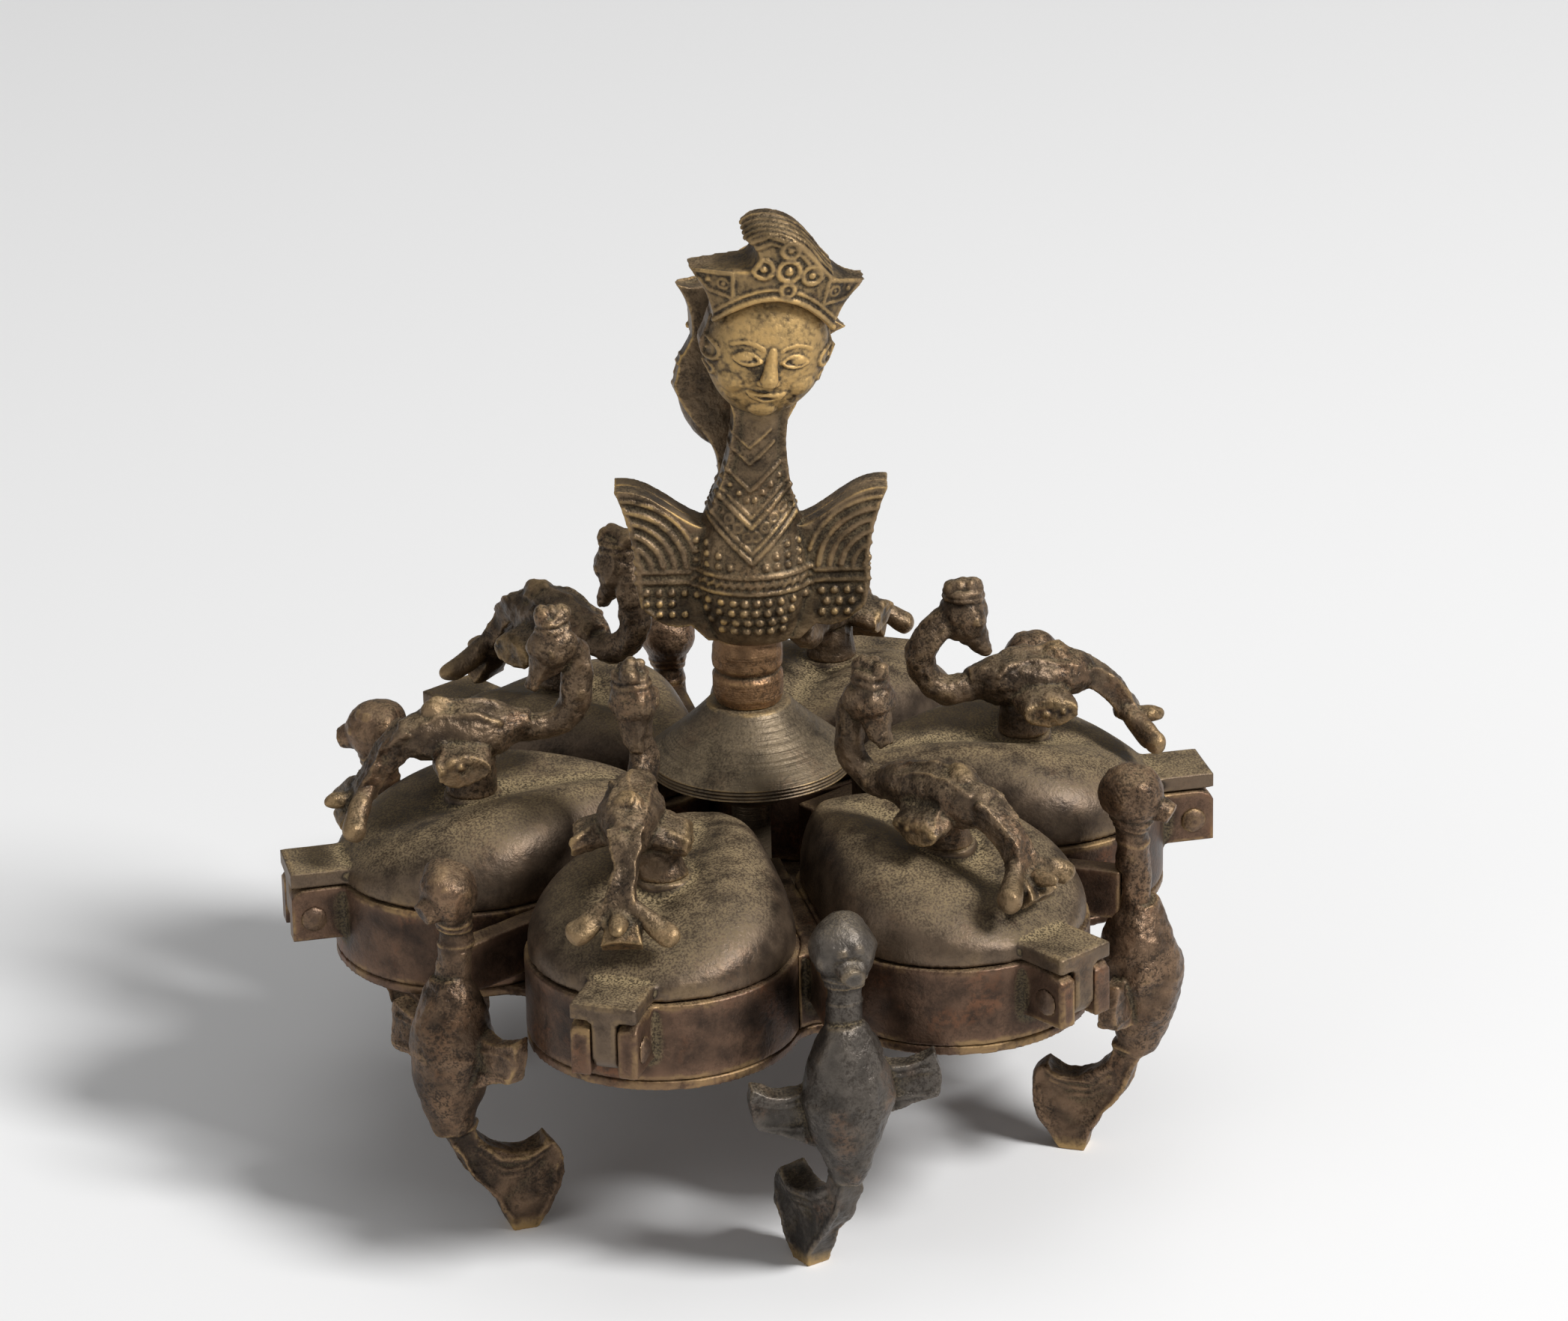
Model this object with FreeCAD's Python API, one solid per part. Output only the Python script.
import FreeCAD, Part
import math
import os

# Six-lobed bronze powder box with hinged bird lids, bird legs and a screw-down figure handle.
# Millimetres, +Z up, origin on the surface it stands on, below the centre post.
# Petal 1 points along +X and the petals follow anticlockwise, with a leg between each pair.

# Box
petal_count = 6
lobe_centre_radius = 37.0
web_thickness = 3.0
cup_wall = 2.2
cup_inner_end_radius = 12.5
cup_depth = 10.2
base_height = 28.3
base_thickness = 1.2
junction_fillet = 4.0
filled_web_count = 3

# Webs between the cups, which carry the legs
web_inner_radius = 9.5
web_arm_depth = 6.6

# Lid hinge at the outer end of each cup
hinge_set_out = 3.5
hinge_rise = 0.1
ear_above_pin = 4.0
ear_below_pin = 3.0
ear_reach = 2.7
ear_thickness = 2.5
tongue_width = 3.2
tongue_side_clearance = 0.12
knuckle_radius = 2.6
pin_radius = 1.1
pin_head_radius = 1.85
pin_head_height = 0.8
pin_clearance = 0.06
hinge_gap = 0.2

# Lids
lid_gap = 0.2
lid_inset = 0.4
lid_wall = 1.6
lid_skirt = 1.0
lid_tip_height = 7.0
lid_crown_height = 16.8
lid_tip_half_flat = 2.6
lid_end_half_width = 3.4
lid_tab_step = 0.3
lid_bell_gap = 0.4
tab_thickness = 2.2
lid_valley_share = 0.29
lid_valley_width_share = 0.36
lid_section_count = 8
lid_point_count = 10
lid_side_power = 3.0

# Birds on the lids
bird_radius = 36.0
bird_height = 24.2
bird_height_shares = (0.9, 1.0, 1.05, 1.02, 0.98, 0.92)
bird_leans = (0, 4, 3, 0, 3, -4)
bird_yaws = (0, 0, 0, 0, 12.5, 8)
bird_reach = 18.0
bird_pedestal_radius = 2.6
bird_pedestal_foot_radius = 3.3
bird_tenon_radius = 1.8
bird_tenon_proud = 0.8
bird_seat_radius = 3.6
bird_seat_rise = 1.2
bird_body_radius = 3.9
bird_body_share = 0.34
bird_body_length_shares = (-0.42, -0.2, 0.1, 0.32, 0.5)
bird_body_radius_shares = (0.48, 0.86, 1.0, 0.84, 0.5)
bird_neck_radius = 1.9
bird_neck_level_share = 0.31
bird_neck_bend_share = 0.18
bird_neck_rise_share = 0.275
bird_neck_turn_shares = (0.25, 0.115, 0.115, 0.115, 0.115, 0.115)
bird_neck_run_share = 0.52
bird_head_radius = 3.2
bird_beak_radius = 2.8
bird_beak_tip_radius = 0.8
bird_beak_out_share = 0.17
bird_beak_drop_share = 0.25
bird_crest_radius = 2.0
bird_crest_height = 1.7
bird_crest_knob_radius = 1.3
bird_crest_knob_count = 3
bird_rump_radius = 2.2
bird_rump_shares = (0.24, 0.44)
bird_wing_span = 7.0
bird_wing_root_shares = (-0.16, 0.30, 0.22, 0.40)
bird_wing_tip_shares = (-0.08, 0.30, 0.14, 0.30)
bird_tail_half_width = 1.7
bird_tail_thickness = 1.5
bird_tail_shares = (
    (0.4, 0.35, 1.5, 1.9),
    (0.58, 0.27, 1.0, 1.5),
    (0.76, 0.07, 1.0, 1.3),
    (0.91, -0.12, 1.6, 1.0),
)
bird_prong_radius = 1.2
bird_prong_tip_radius = 1.5
bird_prong_spread = 5.4
bird_prong_root_shares = (0.73, 0.1)
bird_prong_tip_shares = (0.88, -0.05)

# Bird legs
leg_lobe_gap = 0.88
leg_height = 52.0
leg_head_shares = (1.0, 0.98, 1.0, 0.985, 0.95, 1.035)
leg_head_radius = 4.0
leg_neck_radius = 1.9
leg_neck_foot_radius = 2.5
leg_seat_depth = 0.6
leg_body_radius = 5.7
leg_body_set_out = 0.8
leg_body_height_shares = (0.69, 0.615, 0.51, 0.385, 0.285)
leg_body_radius_shares = (0.42, 0.74, 1.0, 0.72, 0.36)
leg_beak_reach = 5.0
leg_beak_drop = 2.0
leg_beak_radius = 2.7
leg_beak_tip_radius = 1.3
leg_wing_span = 12.0
leg_wing_thickness = 2.4
leg_wing_set_in = 1.6
leg_wing_height = 8.6
leg_wing_foot = 20.0
leg_wing_lift = 2.2
leg_wing_top_shares = ((0.2, 0.9), (0.5, 0.82), (0.95, 1.0))
leg_wing_tip_shares = ((0.95, 1.0), (1.0, 0.72), (0.93, 0.3))
leg_wing_low_shares = ((0.93, 0.3), (0.55, 0.12), (0.2, -0.15))
leg_fan_turns = (0, 0, 0, -25, 22, 0)
leg_fan_thickness = 3.4
leg_fan_reach = 13.2
leg_fan_height = 16.0
leg_fan_outer_shares = ((-0.46, 0.0), (-0.3, 0.27), (-0.06, 0.58), (0.13, 1.0))
leg_fan_inner_shares = ((-0.13, 1.0), (-0.24, 0.78), (-0.55, 0.67), (-0.83, 0.76))
leg_fan_edge_shares = ((-0.83, 0.76), (-1.0, 0.54), (-0.93, 0.28), (-0.71, 0.0))

# Centre post, bell and stem of the handle
post_radius = 2.5
post_flange_radius = 5.5
post_flange_thickness = 1.6
post_top_gap = 0.5
bell_rim_radius = 13.1
bell_rim_height = 49.0
bell_rim_thickness = 1.4
bell_height = 57.6
bell_top_radius = 5.2
bell_hollow_share = 0.43
bell_funnel_radius = 4.6
bell_funnel_depth = 4.4
bell_lip = 0.8
stem_length = 9.1
stem_radius = 4.5
stem_groove = 0.45
stem_tenon_length = 2.6
stem_gap = 0.1
stem_turn = -12.5
stem_height_shares = (0.0, 0.12, 0.4, 0.48, 0.56, 0.8, 1.0)

# Two back-to-back figures of winged people on the stem
figure_height = 59.5
figure_half_width = 17.2
figure_plate = 2.6
figure_lean = 7.0
figure_sway = 4.2
figure_twist = 7.0
figure_head_roll = 3.6
figure_bend_share = 0.29
rear_head_drop = 8.0
rear_figure_sway = 1.5
rear_head_roll = -19.0
figure_set_over = 0.9
figure_seat_half_width = 5.8
figure_wing_shares = ((0.46, 0.035), (0.7, 0.045), (0.84, 0.1), (0.855, 0.19), (0.9, 0.262), (1.0, 0.34))
figure_wing_top_shares = ((1.0, 0.34), (0.8, 0.333), (0.6, 0.298), (0.37, 0.258))
figure_nape_shares = ((0.32, 0.29), (0.25, 0.37), (0.205, 0.45), (0.215, 0.535), (0.36, 0.61), (0.49, 0.69))
figure_temple_shares = ((0.49, 0.69), (0.46, 0.715), (0.43, 0.755))
figure_crown_side_shares = ((0.43, 0.755), (0.5, 0.81), (0.645, 0.855))
figure_crown_top_shares = ((0.645, 0.855), (0.38, 0.88), (0.25, 0.92), (0.08, 0.966), (-0.15, 0.98), (-0.3, 0.953))
figure_curl_shares = ((-0.3, 0.953), (-0.19, 0.926), (-0.24, 0.885))
figure_chest_half_width = 7.4
figure_chest_depth = 6.4
figure_torso_shares = (
    (0.0, 0.74, 0.7),
    (0.1, 0.97, 1.0),
    (0.19, 1.0, 1.0),
    (0.28, 0.8, 0.82),
    (0.35, 0.6, 0.64),
)
figure_neck_half_width = 3.6
figure_neck_depth = 3.5
figure_neck_shares = ((0.27, 1.6, 1.3), (0.37, 1.2, 1.12), (0.46, 1.0, 1.0), (0.58, 1.1, 1.1))
figure_head_half_width = 7.6
figure_head_half_height = 9.3
figure_head_depth = 5.2
figure_head_share = 0.69
figure_crown_radius = 15.2
figure_crown_depth = 7.2
figure_band_shares = ((0.43, 0.755), (0.25, 0.806), (0.0, 0.827), (-0.25, 0.806), (-0.43, 0.755))

overrun = 5.0

# Sizes that follow from the ones above
petal_angle = 360.0 / petal_count
half_angle = math.radians(petal_angle / 2)
half_web = web_thickness / 2
base_top = base_height + base_thickness
rim_height = base_top + cup_depth
lobe_radius = lobe_centre_radius * math.sin(half_angle) - half_web
cup_outer_end = lobe_centre_radius + lobe_radius
flat_end = lobe_centre_radius * math.cos(half_angle)
hinge_radius = cup_outer_end + hinge_set_out
ear_top = rim_height + hinge_rise
pin_height = ear_top - ear_above_pin
ear_inner_face = tongue_width / 2 + tongue_side_clearance
ear_outer_face = ear_inner_face + ear_thickness
ear_root = cup_outer_end - cup_wall
ear_end = hinge_radius + ear_reach
tab_bottom = ear_top + hinge_gap
tab_top = tab_bottom + tab_thickness
lid_bottom = rim_height + lid_gap
lid_inner_end = bell_rim_radius + lid_bell_gap
leg_clear = lobe_radius + leg_lobe_gap
leg_side = lobe_centre_radius * math.sin(half_angle) - leg_wing_span
leg_radius = flat_end + math.sqrt(leg_clear ** 2 - leg_side ** 2) + leg_wing_set_in
web_outer_end = leg_radius - leg_neck_radius + leg_seat_depth
stem_bottom = bell_height + stem_gap
stem_top = stem_bottom + stem_length
bore_radius = post_radius + pin_clearance
post_top = bell_height - stem_tenon_length - post_top_gap

os.makedirs("parts", exist_ok=True)


def vec(x, y, z):
    return FreeCAD.Vector(x, y, z)


origin = vec(0, 0, 0)
axis_x = vec(1, 0, 0)
axis_y = vec(0, 1, 0)
axis_z = vec(0, 0, 1)


def turned(shape, degrees):
    copy = shape.copy()
    copy.rotate(origin, axis_z, degrees)
    return copy


def line(start, end):
    return Part.LineSegment(start, end).toShape()


def arc(start, middle, end):
    return Part.Arc(start, middle, end).toShape()


def curve(points):
    spline = Part.BSplineCurve()
    spline.interpolate(points)
    return spline.toShape()


def slab(edges, direction):
    return Part.Face(Part.Wire(edges)).extrude(direction)


def spindle(first, profile, last):
    # Body of revolution about the line from first to last, with a profile of two arcs.
    edges = [
        line(first, profile[0]),
        arc(profile[0], profile[1], profile[2]),
        arc(profile[2], profile[3], profile[4]),
        line(profile[4], last),
        line(last, first),
    ]
    return Part.Face(Part.Wire(edges)).revolve(first, last - first, 360)


def leaf_circles(inset, inner_end):
    # Lobe and blunt end of a leaf outline, held a set distance inside its sixth of the circle.
    side_gap = half_web + inset
    outer_radius = lobe_centre_radius * math.sin(half_angle) - side_gap
    end_centre = (inner_end - side_gap) / (1 - math.sin(half_angle))
    return outer_radius, end_centre, end_centre - inner_end


def leaf(inset, inner_end, bottom, height):
    outer_radius, end_centre, end_radius = leaf_circles(inset, inner_end)
    sine, cosine = math.sin(half_angle), math.cos(half_angle)

    def side_point(centre, radius, side):
        return vec(centre - radius * sine, side * radius * cosine, bottom)

    lobe_points = [side_point(lobe_centre_radius, outer_radius, side) for side in (1, -1)]
    end_points = [side_point(end_centre, end_radius, side) for side in (1, -1)]
    edges = [
        arc(lobe_points[0], vec(lobe_centre_radius + outer_radius, 0, bottom), lobe_points[1]),
        line(lobe_points[1], end_points[1]),
        arc(end_points[1], vec(inner_end, 0, bottom), end_points[0]),
        line(end_points[0], lobe_points[0]),
    ]
    return slab(edges, vec(0, 0, height))


def junction_points(height):
    # Fillet between two lobes, in a frame whose X runs along the web.
    lobe_offset = lobe_centre_radius * math.sin(half_angle)
    reach = lobe_radius + junction_fillet
    fillet_centre = flat_end + math.sqrt(reach ** 2 - lobe_offset ** 2)
    share = lobe_radius / reach
    touch_x = flat_end + (fillet_centre - flat_end) * share
    touch_y = lobe_offset - lobe_offset * share
    return (
        vec(touch_x, touch_y, height),
        vec(fillet_centre - junction_fillet, 0, height),
        vec(touch_x, -touch_y, height),
    )


def make_base_plate():
    edges = []
    for index in range(petal_count):
        angle = index * petal_angle
        web_turn = FreeCAD.Rotation(axis_z, angle + petal_angle / 2)
        last_turn = FreeCAD.Rotation(axis_z, angle - petal_angle / 2)
        petal_turn = FreeCAD.Rotation(axis_z, angle)
        high, middle, low = junction_points(base_height)
        lobe_end = petal_turn.multVec(vec(cup_outer_end, 0, base_height))
        edges.append(arc(last_turn.multVec(high), lobe_end, web_turn.multVec(low)))
        edges.append(arc(web_turn.multVec(low), web_turn.multVec(middle), web_turn.multVec(high)))
    plate = slab(edges, vec(0, 0, base_thickness))
    return plate.cut(Part.makeCylinder(post_radius, base_thickness, vec(0, 0, base_height)))


def make_ear(side):
    corner = math.sqrt(ear_above_pin ** 2 - ear_reach ** 2)
    halfway = math.atan2(ear_reach, corner) / 2
    depth = ear_thickness * side
    face = ear_inner_face * side
    top_inner = vec(ear_root, face, ear_top)
    top_outer = vec(hinge_radius, face, ear_top)
    arc_middle = vec(
        hinge_radius + ear_above_pin * math.sin(halfway),
        face,
        pin_height + ear_above_pin * math.cos(halfway),
    )
    corner_low = vec(ear_end, face, pin_height + corner)
    bottom_outer = vec(ear_end, face, pin_height - ear_below_pin)
    bottom_inner = vec(ear_root, face, pin_height - ear_below_pin)
    edges = [
        line(top_inner, top_outer),
        arc(top_outer, arc_middle, corner_low),
        line(corner_low, bottom_outer),
        line(bottom_outer, bottom_inner),
        line(bottom_inner, top_inner),
    ]
    return slab(edges, vec(0, depth, 0))


def cross_cylinder(radius, half_length):
    start = vec(hinge_radius, -half_length, pin_height)
    return Part.makeCylinder(radius, half_length * 2, start, axis_y)


def make_cup():
    wall = leaf(0, cup_inner_end_radius, base_top, cup_depth)
    well = leaf(cup_wall, cup_inner_end_radius + cup_wall, base_top, cup_depth)
    cup = wall.cut(well).multiFuse([make_ear(1), make_ear(-1)])
    return cup.cut(cross_cylinder(pin_radius, ear_outer_face)).removeSplitter()


def make_web(filled):
    # Plate between two cups whose arm reaches out to the neck of the leg.
    arm_bottom = rim_height - web_arm_depth
    outline = [
        vec(web_inner_radius, -half_web, base_top),
        vec(flat_end, -half_web, base_top),
        vec(flat_end, -half_web, arm_bottom),
        vec(web_outer_end, -half_web, arm_bottom),
        vec(web_outer_end, -half_web, rim_height),
        vec(web_inner_radius, -half_web, rim_height),
    ]
    edges = [line(outline[i - 1], outline[i]) for i in range(len(outline))]
    web = slab(edges, vec(0, web_thickness, 0))
    if not filled:
        return web
    high, middle, low = junction_points(base_top)
    offset = lobe_centre_radius * math.sin(half_angle)
    halfway = math.atan2(high.x - flat_end, offset - high.y) / 2
    bow_x = flat_end + lobe_radius * math.sin(halfway)
    bow_y = offset - lobe_radius * math.cos(halfway)
    start = vec(flat_end, half_web, base_top)
    end = vec(flat_end, -half_web, base_top)
    edges = [
        arc(start, vec(bow_x, bow_y, base_top), high),
        arc(high, middle, low),
        arc(low, vec(bow_x, -bow_y, base_top), end),
        line(end, start),
    ]
    return web.fuse(slab(edges, vec(0, 0, cup_depth))).removeSplitter()


def make_hinge_pin():
    head_start = ear_outer_face
    head_end = head_start + pin_head_height
    cap_radius = (pin_head_radius ** 2 + pin_head_height ** 2) / (pin_head_height * 2)
    halfway = math.asin(pin_head_radius / cap_radius) / 2
    bulge = cap_radius * math.sin(halfway)
    bulge_end = head_end - cap_radius * (1 - math.cos(halfway))
    edges = [
        line(vec(0, -head_end, 0), vec(0, head_end, 0)),
        arc(vec(0, head_end, 0), vec(bulge, bulge_end, 0), vec(pin_head_radius, head_start, 0)),
        line(vec(pin_head_radius, head_start, 0), vec(pin_radius, head_start, 0)),
        line(vec(pin_radius, head_start, 0), vec(pin_radius, -head_start, 0)),
        line(vec(pin_radius, -head_start, 0), vec(pin_head_radius, -head_start, 0)),
        arc(vec(pin_head_radius, -head_start, 0), vec(bulge, -bulge_end, 0), vec(0, -head_end, 0)),
    ]
    pin = Part.Face(Part.Wire(edges)).revolve(origin, axis_y, 360)
    pin.translate(vec(hinge_radius, 0, pin_height))
    return pin


def lid_half_width(x, inset):
    inner_end = lid_inner_end - lid_inset + inset
    outer_radius, end_centre, end_radius = leaf_circles(inset, inner_end)
    sine = math.sin(half_angle)
    if x < end_centre - end_radius * sine:
        return math.sqrt(end_radius ** 2 - (x - end_centre) ** 2)
    if x < lobe_centre_radius - outer_radius * sine:
        return x * math.tan(half_angle) - (half_web + inset) / math.cos(half_angle)
    return math.sqrt(outer_radius ** 2 - (x - lobe_centre_radius) ** 2)


def lid_ends(inset):
    inner_end = lid_inner_end - lid_inset + inset
    outer_radius, end_centre, end_radius = leaf_circles(inset, inner_end)
    start = end_centre - math.sqrt(end_radius ** 2 - lid_tip_half_flat ** 2)
    return start, lobe_centre_radius + math.sqrt(outer_radius ** 2 - lid_end_half_width ** 2)


def lid_crown(x):
    start, end = lid_ends(lid_inset)
    along = min(max((x - start) / (end - start), 0), 1)
    end_rise = tab_top - lid_tab_step - lid_bottom - lid_skirt
    crown = lid_tip_height * (1 - along) ** 2 + end_rise * along ** 2
    return along, crown + lid_crown_height * 2 * along * (1 - along)


def lid_side_fall(across):
    return (1 - abs(across) ** lid_side_power) ** 0.5


def lid_rise(x, across):
    # Height of the lid over its skirt: a crown along the petal with a valley down its middle.
    along, crown = lid_crown(x)
    valley = math.exp(-(across / lid_valley_width_share) ** 2) * math.sin(math.pi * along)
    return crown * (lid_side_fall(across) - lid_valley_share * valley)


def lid_hollow_rise(x, across):
    return (lid_rise(x, 0) - lid_wall) * lid_side_fall(across)


def lid_section(x, inset, bottom, rise_at):
    width = lid_half_width(x, inset)
    points = []
    for index in range(lid_point_count + 1):
        across = math.sin(math.pi * (index / lid_point_count - 0.5))
        points.append(vec(x, across * width, lid_bottom + lid_skirt + rise_at(x, across)))
    left_low = vec(x, -width, bottom)
    right_low = vec(x, width, bottom)
    edges = [
        line(left_low, points[0]),
        curve(points),
        line(points[-1], right_low),
        line(right_low, left_low),
    ]
    return Part.Wire(edges)


def lid_dome(inset, bottom, rise_at):
    start, end = lid_ends(inset)
    sections = []
    for index in range(lid_section_count + 1):
        along = (1 - math.cos(math.pi * index / lid_section_count)) / 2
        sections.append(lid_section(start + (end - start) * along, inset, bottom, rise_at))
    return Part.makeLoft(sections, True, False)


def lid_seat_height():
    return lid_bottom + lid_skirt + lid_rise(bird_radius, 0) + bird_seat_rise


def make_lid():
    outside = lid_dome(lid_inset, lid_bottom, lid_rise)
    hollow = lid_dome(lid_inset + lid_wall, lid_bottom - overrun, lid_hollow_rise)
    dome_end = lid_ends(lid_inset)[1]
    tab_start = dome_end - lid_wall
    tab = Part.makeBox(ear_end - tab_start, ear_outer_face * 2, tab_thickness)
    tab.translate(vec(tab_start, -ear_outer_face, tab_bottom))
    notch_start = ear_root - hinge_gap
    notch = Part.makeBox(ear_end - notch_start, (ear_outer_face + hinge_gap) * 2, tab_bottom - lid_bottom)
    notch.translate(vec(notch_start, -ear_outer_face - hinge_gap, lid_bottom))
    neck = Part.makeBox(knuckle_radius * 2, tongue_width, tab_top - pin_height)
    neck.translate(vec(hinge_radius - knuckle_radius, -tongue_width / 2, pin_height))
    knuckle = cross_cylinder(knuckle_radius, tongue_width / 2)
    seat_depth = bird_seat_rise + lid_wall / 2
    seat_foot = vec(bird_radius, 0, lid_seat_height() - seat_depth)
    seat = Part.makeCylinder(bird_seat_radius, seat_depth, seat_foot)
    lid = outside.cut(hollow).cut(notch).multiFuse([tab, neck.fuse(knuckle), seat])
    lid = lid.cut(cross_cylinder(pin_radius + pin_clearance, tongue_width))
    hole = Part.makeCylinder(bird_tenon_radius, bird_height, vec(bird_radius, 0, lid_bottom))
    return lid.cut(hole).removeSplitter()


def make_bird(height, lean, yaw, turn_share):
    # Peacock looking back over its tail, on a pedestal riveted through the seat in the lid's valley.
    seat = lid_seat_height()
    low = seat - bird_seat_rise - lid_wall - bird_tenon_proud

    def place(along_share, up_share):
        return vec(bird_radius + along_share * bird_reach, 0, seat + up_share * height)

    tail_end = place(bird_tail_shares[-1][0], 0)
    body_turn = FreeCAD.Rotation(axis_z, yaw)
    body_centre = tail_end + body_turn.multVec(place(0, bird_body_share) - tail_end)
    foot = vec(bird_radius, 0, seat)
    foot_ring = Part.Circle(foot, axis_z, bird_pedestal_foot_radius)
    body_ring = Part.Circle(body_centre, axis_z, bird_pedestal_radius)
    pedestal = Part.makeLoft([Part.Wire(ring.toShape()) for ring in (foot_ring, body_ring)], True, True)
    tenon = Part.makeCylinder(bird_tenon_radius, foot.z - low + bird_seat_rise, vec(bird_radius, 0, low))

    profile = []
    for along, radius in zip(bird_body_length_shares, bird_body_radius_shares):
        profile.append(place(along, bird_body_share) + vec(0, 0, radius * bird_body_radius))
    first = place(bird_body_length_shares[0], bird_body_share)
    last = place(bird_body_length_shares[-1], bird_body_share)
    body = spindle(first, profile, last)

    bend = height * bird_neck_bend_share
    turn = height * turn_share
    run_start = place(0, bird_neck_level_share)
    run_end = place(-bird_neck_run_share, bird_neck_level_share)
    slant = math.sin(math.radians(45))
    bend_middle = run_end + vec(-bend * slant, 0, bend * (1 - slant))
    bend_end = run_end + vec(-bend, 0, bend)
    rise_end = bend_end + vec(0, 0, height * bird_neck_rise_share - turn)
    turn_middle = rise_end + vec(turn * (1 - slant), 0, turn * slant)
    head_centre = rise_end + vec(turn, 0, turn)
    path = Part.Wire([
        line(run_start, run_end),
        arc(run_end, bend_middle, bend_end),
        line(bend_end, rise_end),
        arc(rise_end, turn_middle, head_centre),
    ])
    ring = Part.Wire(Part.Circle(run_start, axis_x, bird_neck_radius).toShape())
    neck = path.makePipeShell([ring], True, False)

    head = Part.makeSphere(bird_head_radius, head_centre)
    beak_line = vec(bird_beak_out_share * bird_reach, 0, -bird_beak_drop_share * height)
    beak = Part.makeCone(bird_beak_radius, bird_beak_tip_radius, beak_line.Length, head_centre, beak_line)
    crest_foot = head_centre + vec(0, 0, bird_head_radius * slant)
    crest = Part.makeCylinder(bird_crest_radius, bird_crest_height, crest_foot)
    top_pieces = [head, beak, crest]
    for index in range(bird_crest_knob_count):
        step = (index - (bird_crest_knob_count - 1) / 2) * bird_crest_knob_radius
        knob_centre = crest_foot + vec(step, 0, bird_crest_height)
        top_pieces.append(Part.makeSphere(bird_crest_knob_radius, knob_centre))
    top = neck
    for piece in top_pieces:
        top = top.fuse(piece)
    top.rotate(run_start, axis_x, lean)
    rump = Part.makeSphere(bird_rump_radius, place(*bird_rump_shares))

    def wing_section(shares, y):
        low_corner = place(shares[0], shares[2])
        high_corner = place(shares[1], shares[3])
        centre = (low_corner + high_corner) * 0.5 + vec(0, y, 0)
        side = vec(high_corner.x, y, centre.z)
        crown = vec(centre.x, y, high_corner.z)
        return Part.Wire(Part.Ellipse(side, crown, centre).toShape())

    wings = []
    for side in (1, -1):
        root = wing_section(bird_wing_root_shares, 0)
        tip = wing_section(bird_wing_tip_shares, side * bird_wing_span)
        wings.append(Part.makeLoft([root, tip], True, True))

    tail_sections = []
    for along, up, width, thickness in bird_tail_shares:
        centre = place(along, up)
        half_width = width * bird_tail_half_width
        half_depth = thickness * bird_tail_thickness / 2
        corners = [
            centre + vec(-half_depth, -half_width, -half_depth),
            centre + vec(-half_depth, half_width, -half_depth),
            centre + vec(half_depth, half_width, half_depth),
            centre + vec(half_depth, -half_width, half_depth),
        ]
        tail_sections.append(Part.makePolygon(corners + corners[:1]))
    tail = Part.makeLoft(tail_sections, True, False)
    prongs = []
    for side in (1, -1):
        root = place(*bird_prong_root_shares)
        tip = place(*bird_prong_tip_shares) + vec(0, side * bird_prong_spread, 0)
        reach = tip - root
        prongs.append(Part.makeCone(bird_prong_radius, bird_prong_tip_radius, reach.Length, root, reach))
        prongs.append(Part.makeSphere(bird_prong_tip_radius, tip))

    bird = body
    for piece in [top, rump, tail] + prongs + wings:
        bird = bird.fuse(piece)
    bird.rotate(tail_end, axis_z, yaw)
    return bird.fuse(pedestal).fuse(tenon).removeSplitter()


def make_leg(web, head_share, fan_turn):
    # Standing bird whose head clears the rim and whose curled tail fan is the foot.
    head_height = leg_height * head_share - leg_head_radius
    head_centre = vec(leg_radius, 0, head_height)
    head = Part.makeSphere(leg_head_radius, head_centre)
    beak_line = vec(leg_beak_reach, 0, -leg_beak_drop)
    beak = Part.makeCone(leg_beak_radius, leg_beak_tip_radius, beak_line.Length, head_centre, beak_line)
    neck_foot = leg_height * leg_body_height_shares[1]
    neck_length = head_height - neck_foot
    neck = Part.makeCone(leg_neck_foot_radius, leg_neck_radius, neck_length, vec(leg_radius, 0, neck_foot))

    body_centre = leg_radius + leg_body_set_out
    profile = []
    for up, radius in zip(leg_body_height_shares, leg_body_radius_shares):
        profile.append(vec(body_centre + radius * leg_body_radius, 0, up * leg_height))
    top = vec(body_centre, 0, profile[0].z)
    bottom = vec(body_centre, 0, profile[-1].z)
    body = spindle(top, profile, bottom)

    wings = []
    for side in (1, -1):
        foot = leg_wing_foot + leg_wing_lift * (1 + side) / 2
        rows = []
        for shares in (leg_wing_top_shares, leg_wing_tip_shares, leg_wing_low_shares):
            row = []
            for across, up in shares:
                height = foot + up * leg_wing_height
                row.append(vec(leg_radius - leg_wing_set_in, side * across * leg_wing_span, height))
            rows.append(row)
        edges = [curve(row) for row in rows] + [line(rows[2][-1], rows[0][0])]
        wings.append(slab(edges, vec(leg_wing_thickness, 0, 0)))

    def fan_points(shares):
        half = leg_fan_thickness / 2
        return [vec(leg_radius + x * leg_fan_reach, -half, z * leg_fan_height) for x, z in shares]

    outer = fan_points(leg_fan_outer_shares)
    inner = fan_points(leg_fan_inner_shares)
    edge = fan_points(leg_fan_edge_shares)
    edges = [
        curve(outer),
        line(outer[-1], inner[0]),
        curve(inner),
        curve(edge),
        line(edge[-1], outer[0]),
    ]
    fan = slab(edges, vec(0, leg_fan_thickness, 0))
    fan.rotate(vec(leg_radius, 0, 0), axis_z, fan_turn)
    leg = body.multiFuse([head, beak, neck, fan] + wings)
    return leg.cut(web).removeSplitter()


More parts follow.
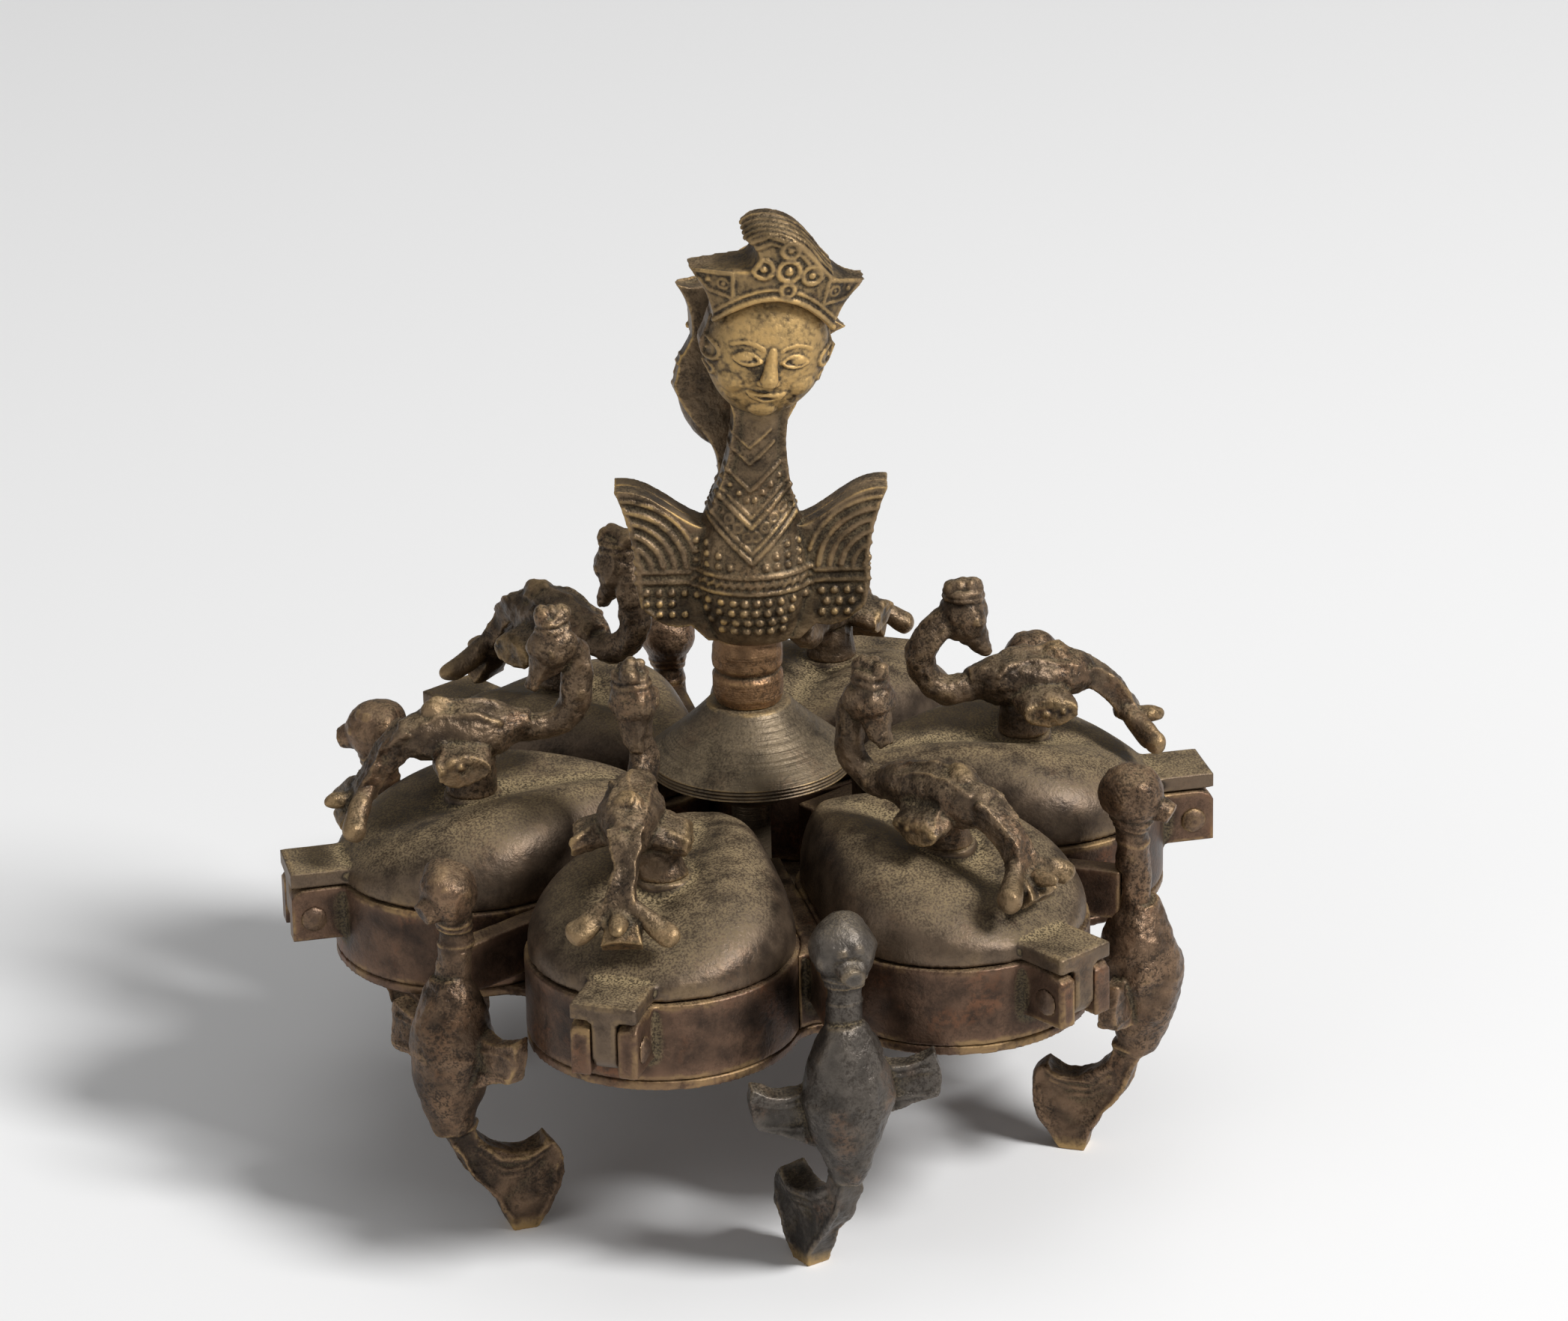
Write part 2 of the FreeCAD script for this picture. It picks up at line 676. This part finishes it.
def make_post():
    shank = Part.makeCylinder(post_radius, post_top - base_height, vec(0, 0, base_height))
    flange = Part.makeCylinder(post_flange_radius, post_flange_thickness, vec(0, 0, base_top))
    return shank.fuse(flange).removeSplitter()


def make_bell():
    funnel_bottom = bell_rim_height - bell_funnel_depth
    rim_top = bell_rim_height + bell_rim_thickness
    hollow_x = bell_top_radius + (bell_rim_radius - bell_top_radius) * bell_hollow_share
    hollow_z = rim_top + (bell_height - rim_top) * bell_hollow_share
    points = [
        vec(bore_radius, 0, funnel_bottom),
        vec(bell_funnel_radius, 0, funnel_bottom),
        vec(bell_rim_radius - bell_lip, 0, bell_rim_height),
        vec(bell_rim_radius, 0, bell_rim_height),
        vec(bell_rim_radius, 0, rim_top),
        vec(bell_top_radius, 0, bell_height),
        vec(bore_radius, 0, bell_height),
    ]
    edges = [line(points[i], points[i + 1]) for i in range(4)]
    edges.append(arc(points[4], vec(hollow_x, 0, hollow_z), points[5]))
    edges.append(line(points[5], points[6]))
    edges.append(line(points[6], points[0]))
    return Part.Face(Part.Wire(edges)).revolve(origin, axis_z, 360)


def make_stem():
    groove_radius = stem_radius - stem_groove
    radii = (groove_radius, stem_radius, stem_radius, groove_radius, stem_radius, stem_radius, groove_radius)
    tenon_bottom = stem_bottom - stem_tenon_length
    points = [vec(0, 0, tenon_bottom), vec(post_radius, 0, tenon_bottom), vec(post_radius, 0, stem_bottom)]
    for radius, up in zip(radii, stem_height_shares):
        points.append(vec(radius, 0, stem_bottom + up * stem_length))
    points.append(vec(0, 0, stem_top))
    edges = [line(points[i - 1], points[i]) for i in range(len(points))]
    return Part.Face(Part.Wire(edges)).revolve(origin, axis_z, 360)


def egg(half_width, depth, half_height, centre):
    matrix = FreeCAD.Matrix()
    matrix.scale(half_width, depth, half_height)
    shape = Part.makeSphere(1).transformGeometry(matrix)
    shape.translate(centre)
    return shape


def figure_point(x_share, z_share):
    return vec(x_share * figure_half_width, 0, stem_top + z_share * figure_height)


def figure_row(shares, side):
    return [figure_point(side * x, z) for x, z in shares]


def oval_column(shares, half_width, depth):
    sections = []
    for up, width_share, depth_share in shares:
        centre = figure_point(0, up)
        side = centre + vec(half_width * width_share, 0, 0)
        front = centre - vec(0, depth * depth_share, 0)
        sections.append(Part.Wire(Part.Ellipse(side, front, centre).toShape()))
    return Part.makeLoft(sections, True, False)


def front_of_back_plane(shape):
    reach = figure_half_width + overrun
    box = Part.makeBox(reach * 2, reach, figure_height + overrun, vec(-reach, -reach, stem_top))
    return shape.common(box)


def make_figure_chest():
    edges = []
    seat = [vec(side * figure_seat_half_width, 0, stem_top) for side in (1, -1)]
    notches = []
    for side, corner in zip((1, -1), seat):
        wing = figure_row(figure_wing_shares, side)
        top = figure_row(figure_wing_top_shares, side)
        edges += [line(corner, wing[0]), curve(wing), curve(top)]
        notches.append(top[-1])
    edges += [line(notches[0], notches[1]), line(seat[0], seat[1])]
    wings = slab(Part.sortEdges(edges)[0], vec(0, -figure_plate, 0))
    torso = oval_column(figure_torso_shares, figure_chest_half_width, figure_chest_depth)
    return wings.fuse(torso)


def crown_edges():
    curl = figure_row(figure_curl_shares, 1)
    sides = [curve(figure_row(figure_crown_side_shares, side)) for side in (1, -1)]
    crown_end = figure_row(figure_crown_side_shares, -1)[-1]
    return sides + [curve(figure_row(figure_crown_top_shares, 1)), curve(curl), line(curl[-1], crown_end)]


def make_figure_crown():
    # Flared crown with a plume, rounded across its front and standing proud of the forehead.
    edges = crown_edges() + [curve(figure_row(figure_band_shares, 1))]
    block = slab(Part.sortEdges(edges)[0], vec(0, -figure_crown_depth, 0))
    foot = vec(0, figure_crown_radius - figure_crown_depth, stem_top)
    return block.common(Part.makeCylinder(figure_crown_radius, figure_height + overrun, foot))


def make_figure_head(roll):
    # Head and crown tilt on the neck, which keeps a plate of its own behind the ears.
    temples = [curve(figure_row(figure_temple_shares, side)) for side in (1, -1)]
    nape = [figure_row(figure_nape_shares, side) for side in (1, -1)]
    brow = [figure_row(figure_temple_shares, side)[-1] for side in (1, -1)]
    neck_edges = [curve(row) for row in nape] + temples
    neck_edges += [line(nape[0][0], nape[1][0]), line(brow[0], brow[1])]
    neck_plate = slab(Part.sortEdges(neck_edges)[0], vec(0, -figure_plate, 0))
    neck = oval_column(figure_neck_shares, figure_neck_half_width, figure_neck_depth)
    head_edges = crown_edges() + temples + [line(nape[0][-1], nape[1][-1])]
    head_plate = slab(Part.sortEdges(head_edges)[0], vec(0, -figure_plate, 0))
    head_centre = figure_point(0, figure_head_share)
    head_egg = egg(
        figure_head_half_width,
        figure_head_depth,
        figure_head_half_height,
        head_centre - vec(0, figure_plate, 0),
    )
    head = head_plate.multiFuse([head_egg, make_figure_crown()])
    head.rotate(head_centre, axis_y, roll)
    return front_of_back_plane(neck_plate.multiFuse([neck, head]))


def make_figure(head_drop, sway, roll, set_over):
    # Winged figure cast as a flat-backed plate whose neck and head lean away from the other plate.
    upper = make_figure_head(roll)
    bend = figure_point(0, figure_bend_share)
    upper.rotate(bend, axis_x, figure_lean)
    upper.rotate(bend, axis_y, sway)
    upper.rotate(bend, axis_z, figure_twist)
    upper.translate(vec(0, 0, -head_drop))
    figure = front_of_back_plane(make_figure_chest().fuse(upper)).removeSplitter()
    figure.translate(vec(set_over, 0, 0))
    return figure


def save(shape, name):
    shape.exportStep("parts/" + name + ".step")


save(make_base_plate(), "base_plate")
save(make_post(), "centre_post")
save(make_bell(), "bell")
save(turned(make_stem(), stem_turn), "stem")
front_figure = make_figure(0, figure_sway, figure_head_roll, figure_set_over)
rear_figure = make_figure(rear_head_drop, rear_figure_sway, rear_head_roll, -figure_set_over)
save(turned(front_figure, stem_turn), "front_figure")
save(turned(rear_figure, stem_turn + 180), "rear_figure")

cup = make_cup()
lid = make_lid()
pin = make_hinge_pin()
for index in range(petal_count):
    number = str(index + 1)
    angle = index * petal_angle
    web_angle = angle + petal_angle / 2
    web = make_web(index % filled_web_count == 1)
    save(turned(cup, angle), "cup_" + number)
    save(turned(lid, angle), "lid_" + number)
    bird = make_bird(
        bird_height * bird_height_shares[index % len(bird_height_shares)],
        bird_leans[index % len(bird_leans)],
        bird_yaws[index % len(bird_yaws)],
        bird_neck_turn_shares[index % len(bird_neck_turn_shares)],
    )
    save(turned(bird, angle), "lid_bird_" + number)
    save(turned(pin, angle), "hinge_pin_" + number)
    save(turned(web, web_angle), "web_" + number)
    leg = make_leg(
        web,
        leg_head_shares[index % len(leg_head_shares)],
        leg_fan_turns[index % len(leg_fan_turns)],
    )
    save(turned(leg, web_angle), "leg_" + number)
